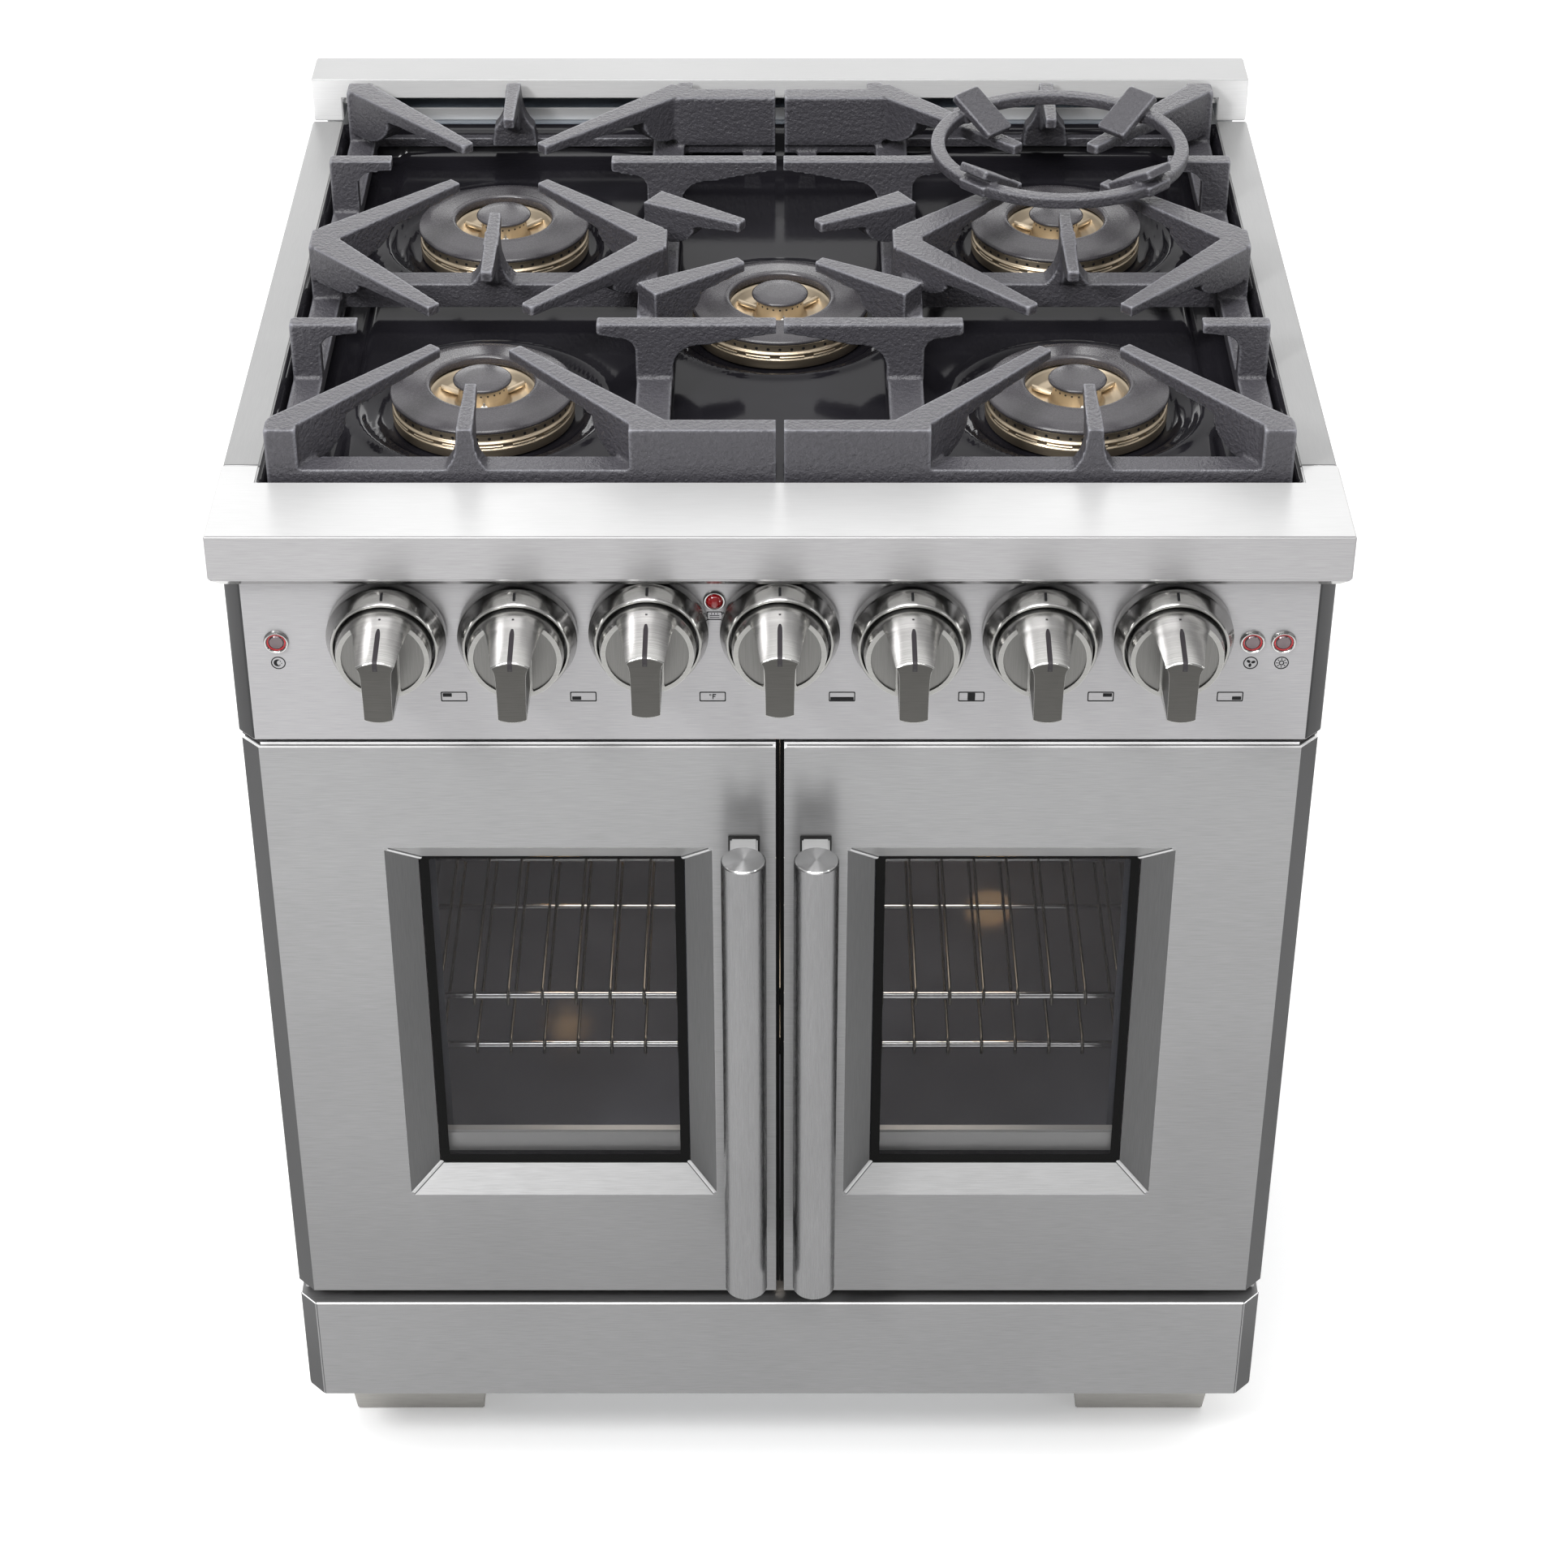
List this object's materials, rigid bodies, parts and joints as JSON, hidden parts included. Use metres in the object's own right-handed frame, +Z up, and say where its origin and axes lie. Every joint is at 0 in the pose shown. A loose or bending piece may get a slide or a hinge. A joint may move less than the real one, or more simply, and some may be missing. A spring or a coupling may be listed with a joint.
{
  "type": "freestanding gas range",
  "caption": "Freestanding gas range with sealed burners, lift-off cast grates and a wok ring, turned knobs, push buttons and an oven behind two side-hung glazed doors.",
  "frame": {"origin": "on the floor, under the middle of the range's overall box", "axes": "+Z up, -Y out of the front, +X to the right as seen from the front"},
  "size_m": [0.76, 0.7516, 0.9813],
  "materials": {
    "stainless_trim": "fine brushed, slightly brighter than the fronts",
    "stainless_panel": "fine horizontal brushed grain",
    "stainless_door": "fine horizontal brushed grain",
    "stainless_leg": "satin",
    "galvanised_sheet": "dull zinc coated",
    "cooktop_enamel": "glossy black porcelain enamel",
    "burner_brass": "turned, lightly polished",
    "burner_cap_enamel": "matt dark enamel",
    "cast_iron": "satin coated, pebbled cast faces with worn edges",
    "knob_metal": "turned, polished bezel and satin grip",
    "valve_steel": "turned",
    "button_metal": "spun disc",
    "red_lens": "clear red",
    "gas_pipe": "dull grey",
    "oven_enamel": "blue-grey porcelain enamel",
    "window_glass": "tinted, black printed border",
    "handle_steel": "lengthwise brushed tube with spun end caps",
    "rack_chrome": "bright wire",
    "fan_enamel": "blue-grey porcelain enamel",
    "fan_steel": "plain",
    "motor_steel": "dull"
  },
  "bodies": {
    "root": {"front_ledge": "stainless_trim", "side_trim_left": "stainless_trim", "side_trim_right": "stainless_trim", "back_guard": "stainless_trim", "control_panel": "stainless_panel", "kick_panel": "stainless_panel", "side_panel_left": "stainless_panel", "side_panel_right": "stainless_panel", "back_panel": "galvanised_sheet", "base_pan": "galvanised_sheet", "cooktop_pan": "cooktop_enamel", "burner_base_front_left": "burner_brass", "burner_base_rear_left": "burner_brass", "burner_base_centre": "burner_brass", "burner_base_front_right": "burner_brass", "burner_base_rear_right": "burner_brass", "burner_cap_front_left": "burner_cap_enamel", "burner_cap_rear_left": "burner_cap_enamel", "burner_cap_centre": "burner_cap_enamel", "burner_cap_front_right": "burner_cap_enamel", "burner_cap_rear_right": "burner_cap_enamel", "indicator_lamp": "red_lens", "gas_manifold": "gas_pipe", "leg_front_left": "stainless_leg", "leg_front_right": "stainless_leg", "leg_rear_left": "stainless_leg", "leg_rear_right": "stainless_leg", "oven_liner": "oven_enamel", "oven_rack_lower": "rack_chrome", "oven_rack_upper": "rack_chrome", "fan_cover": "fan_enamel", "fan_motor": "motor_steel", "bake_burner": "motor_steel"},
    "door_left": {"door_frame_left": "stainless_door", "door_liner_left": "oven_enamel", "door_glass_left": "window_glass", "door_handle_left": "handle_steel"},
    "door_right": {"door_frame_right": "stainless_door", "door_liner_right": "oven_enamel", "door_glass_right": "window_glass", "door_handle_right": "handle_steel"},
    "knob_rear_left": {"knob_rear_left": "knob_metal"},
    "stem_rear_left": {"valve_stem_rear_left": "valve_steel"},
    "knob_front_left": {"knob_front_left": "knob_metal"},
    "stem_front_left": {"valve_stem_front_left": "valve_steel"},
    "knob_oven_temp": {"knob_oven_temp": "knob_metal"},
    "knob_oven_mode": {"knob_oven_mode": "knob_metal"},
    "knob_centre": {"knob_centre": "knob_metal"},
    "stem_centre": {"valve_stem_centre": "valve_steel"},
    "knob_rear_right": {"knob_rear_right": "knob_metal"},
    "stem_rear_right": {"valve_stem_rear_right": "valve_steel"},
    "knob_front_right": {"knob_front_right": "knob_metal"},
    "stem_front_right": {"valve_stem_front_right": "valve_steel"},
    "button_timer": {"button_timer": "button_metal"},
    "button_fan": {"button_fan": "button_metal"},
    "button_light": {"button_light": "button_metal"},
    "fan": {"fan_blade": "fan_steel"},
    "grate_left": {"grate_left": "cast_iron"},
    "grate_right": {"grate_right": "cast_iron"},
    "wok_ring": {"wok_ring": "cast_iron"}
  },
  "joints": [
    {"name": "door_left_swing", "type": "hinge", "parent": "root", "child": "door_left", "pos_m": [-0.362, -0.26815, 0.473], "axis": [0, 0, -1], "range_deg": [0, 110]},
    {"name": "door_right_swing", "type": "hinge", "parent": "root", "child": "door_right", "pos_m": [0.362, -0.26815, 0.473], "axis": [0, 0, 1], "range_deg": [0, 110]},
    {"name": "push_rear_left", "type": "slide", "parent": "root", "child": "stem_rear_left", "axis": [0, 1, 0], "range_m": [0, 0.003], "stiffness_N_per_m": 1500},
    {"name": "turn_rear_left", "type": "hinge", "parent": "stem_rear_left", "child": "knob_rear_left", "pos_m": [-0.2655, -0.30115, 0.8285], "axis": [0, -1, 0], "range_deg": [0, 270]},
    {"name": "push_front_left", "type": "slide", "parent": "root", "child": "stem_front_left", "axis": [0, 1, 0], "range_m": [0, 0.003], "stiffness_N_per_m": 1500},
    {"name": "turn_front_left", "type": "hinge", "parent": "stem_front_left", "child": "knob_front_left", "pos_m": [-0.177, -0.30115, 0.8285], "axis": [0, -1, 0], "range_deg": [0, 270]},
    {"name": "turn_oven_temp", "type": "hinge", "parent": "root", "child": "knob_oven_temp", "pos_m": [-0.0885, -0.30115, 0.8325], "axis": [0, -1, 0], "range_deg": [0, 300]},
    {"name": "turn_oven_mode", "type": "hinge", "parent": "root", "child": "knob_oven_mode", "pos_m": [0, -0.30115, 0.8325], "axis": [0, -1, 0], "range_deg": [0, 315]},
    {"name": "push_centre", "type": "slide", "parent": "root", "child": "stem_centre", "axis": [0, 1, 0], "range_m": [0, 0.003], "stiffness_N_per_m": 1500},
    {"name": "turn_centre", "type": "hinge", "parent": "stem_centre", "child": "knob_centre", "pos_m": [0.0885, -0.30115, 0.8285], "axis": [0, -1, 0], "range_deg": [0, 270]},
    {"name": "push_rear_right", "type": "slide", "parent": "root", "child": "stem_rear_right", "axis": [0, 1, 0], "range_m": [0, 0.003], "stiffness_N_per_m": 1500},
    {"name": "turn_rear_right", "type": "hinge", "parent": "stem_rear_right", "child": "knob_rear_right", "pos_m": [0.177, -0.30115, 0.8285], "axis": [0, -1, 0], "range_deg": [0, 270]},
    {"name": "push_front_right", "type": "slide", "parent": "root", "child": "stem_front_right", "axis": [0, 1, 0], "range_m": [0, 0.003], "stiffness_N_per_m": 1500},
    {"name": "turn_front_right", "type": "hinge", "parent": "stem_front_right", "child": "knob_front_right", "pos_m": [0.2655, -0.30115, 0.8285], "axis": [0, -1, 0], "range_deg": [0, 270]},
    {"name": "press_timer", "type": "slide", "parent": "root", "child": "button_timer", "axis": [0, 1, 0], "range_m": [0, 0.0015], "stiffness_N_per_m": 600},
    {"name": "press_fan", "type": "slide", "parent": "root", "child": "button_fan", "axis": [0, 1, 0], "range_m": [0, 0.0015], "stiffness_N_per_m": 600},
    {"name": "press_light", "type": "slide", "parent": "root", "child": "button_light", "axis": [0, 1, 0], "range_m": [0, 0.0015], "stiffness_N_per_m": 600},
    {"name": "fan_spin", "type": "hinge", "parent": "root", "child": "fan", "pos_m": [0, 0.26485, 0.514], "axis": [0, 1, 0], "continuous": true},
    {"name": "grate_left_lift", "type": "slide", "parent": "root", "child": "grate_left", "axis": [0, 0, 1], "range_m": [0, 0.3]},
    {"name": "grate_right_lift", "type": "slide", "parent": "root", "child": "grate_right", "axis": [0, 0, 1], "range_m": [0, 0.3]},
    {"name": "wok_ring_lift", "type": "slide", "parent": "grate_right", "child": "wok_ring", "axis": [0, 0, 1], "range_m": [0, 0.2]}
  ]
}
